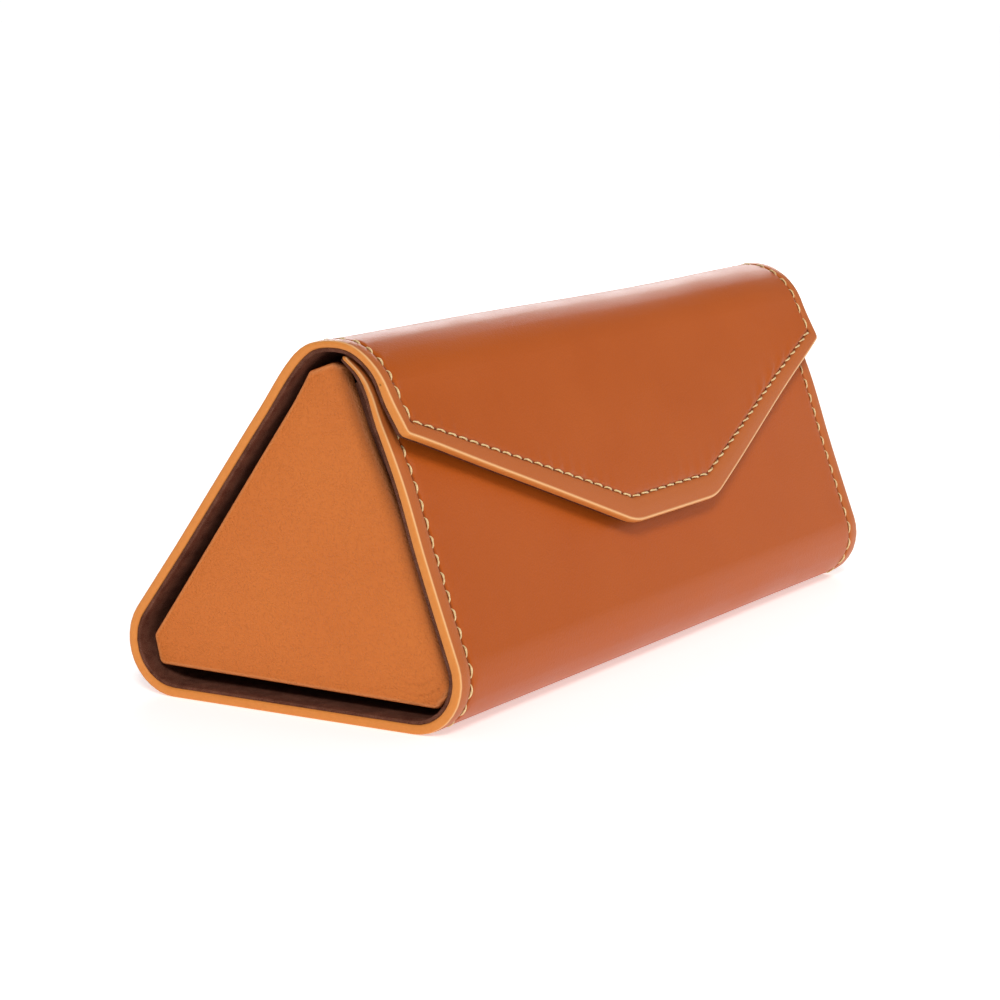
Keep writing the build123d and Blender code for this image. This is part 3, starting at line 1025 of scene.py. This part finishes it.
panel_layers = (
    (panel_leather, "cover", "end_leather"),
    (panel_board, "board", "grey_board"),
    (panel_lining, "lining", "brown_suede"),
)
for name, side in (("end_left", -1), ("end_right", 1)):
    for make_layer, node_end, slot in panel_layers:
        piece = make_layer(name, side)
        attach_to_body(piece, name)
        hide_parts(f"{name}_{node_end}")
        dress(piece, slot)
    dress(make_hinge(name, side), "brown_suede")

slots = {row["node"]: row["material_slot"] for row in frame["record"]["subparts"]}
for node, piece in frame["nodes"].items():
    piece.data.materials.clear()
    piece.data.materials.append(materials[slots[node]])


# ======== floor, light and camera ========
floor_reach = 30.0
floor_drop = 0.05 * mm              # keeps the floor just under the case
floor_glow = 0.47                   # lit from below, as on a light table
horizon_light, overhead_light = 1.05, 0.3
horizon_end = 0.16                  # height in the sky where the light near the horizon ends


def add_object(name, data):
    thing = bpy.data.objects.new(name, data)
    bpy.context.scene.collection.objects.link(thing)
    return thing


def make_floor():
    mesh = bpy.data.meshes.new("floor")
    corners = [(x * floor_reach, y * floor_reach, 0) for x, y in ((-1, -1), (1, -1), (1, 1), (-1, 1))]
    mesh.from_pydata(corners, [], [(0, 1, 2, 3)])
    pale = Nodes("pale_floor").finish(base_color=(0.9, 0.89, 0.89, 1), roughness=0.8,
                                      emission_color=(1, 1, 1, 1), emission_strength=floor_glow)
    mesh.materials.append(pale)
    floor = add_object("floor", mesh)
    floor.location.z = cad_box[0].z - floor_drop
    return floor


def studio_world():
    """White near the horizon and dimmer overhead."""
    world = bpy.data.worlds.new("studio")
    world.use_nodes = True
    nodes, links = world.node_tree.nodes, world.node_tree.links
    nodes["Background"].inputs["Color"].default_value = (1, 1, 1, 1)
    where, split = nodes.new("ShaderNodeTexCoord"), nodes.new("ShaderNodeSeparateXYZ")
    fade = nodes.new("ShaderNodeMapRange")
    fade.inputs["From Min"].default_value = 0.0
    fade.inputs["From Max"].default_value = horizon_end
    fade.inputs["To Min"].default_value = horizon_light
    fade.inputs["To Max"].default_value = overhead_light
    links.new(where.outputs["Generated"], split.inputs[0])
    links.new(split.outputs["Z"], fade.inputs["Value"])
    links.new(fade.outputs["Result"], nodes["Background"].inputs["Strength"])
    return world


def sun(towards, energy, spread_degrees):
    """A soft far light that shines from this direction."""
    light = bpy.data.lights.new("key", "SUN")
    light.energy, light.angle = energy, math.radians(spread_degrees)
    add_object("key", light).rotation_euler = towards.to_track_quat("Z", "Y").to_euler()


def softbox(name, place_at, aim, size, power):
    light = bpy.data.lights.new(name, "AREA")
    light.shape, light.size, light.size_y = "RECTANGLE", *size
    light.energy = power
    lamp = add_object(name, light)
    lamp.location = place_at
    lamp.rotation_euler = (aim - Vector(place_at)).to_track_quat("-Z", "Y").to_euler()


def make_camera(place_at, yaw, pitch, lens_mm):
    """A camera turned yaw degrees from +X about Z, and pitched up by pitch degrees."""
    yaw, pitch = math.radians(yaw), math.radians(pitch)
    ahead = Vector((math.cos(pitch) * math.cos(yaw), math.cos(pitch) * math.sin(yaw), math.sin(pitch)))
    lens = bpy.data.cameras.new("camera")
    lens.sensor_width, lens.lens = 36.0, lens_mm
    lens.clip_start, lens.clip_end = 0.01, 100
    camera = add_object("camera", lens)
    camera.location = place_at
    camera.rotation_euler = ahead.to_track_quat("-Z", "Y").to_euler()
    return camera


make_floor()
bpy.context.scene.world = studio_world()
bpy.context.scene.view_settings.view_transform = "Standard"
centre = (cad_box[0] + cad_box[1]) / 2
sun(Vector((-0.65, -0.45, 0.61)), 1.7, 14)
softbox("strip", (0.45, -0.95, 0.5), centre, (0.7, 0.25), 1.5)
softbox("behind", (1.02, 0.60, 0.42), centre, (0.9, 0.35), 4.5)
bpy.context.scene.camera = make_camera((-0.46913, -0.27666, 0.12168), 31.08, -9.95, 100.03)
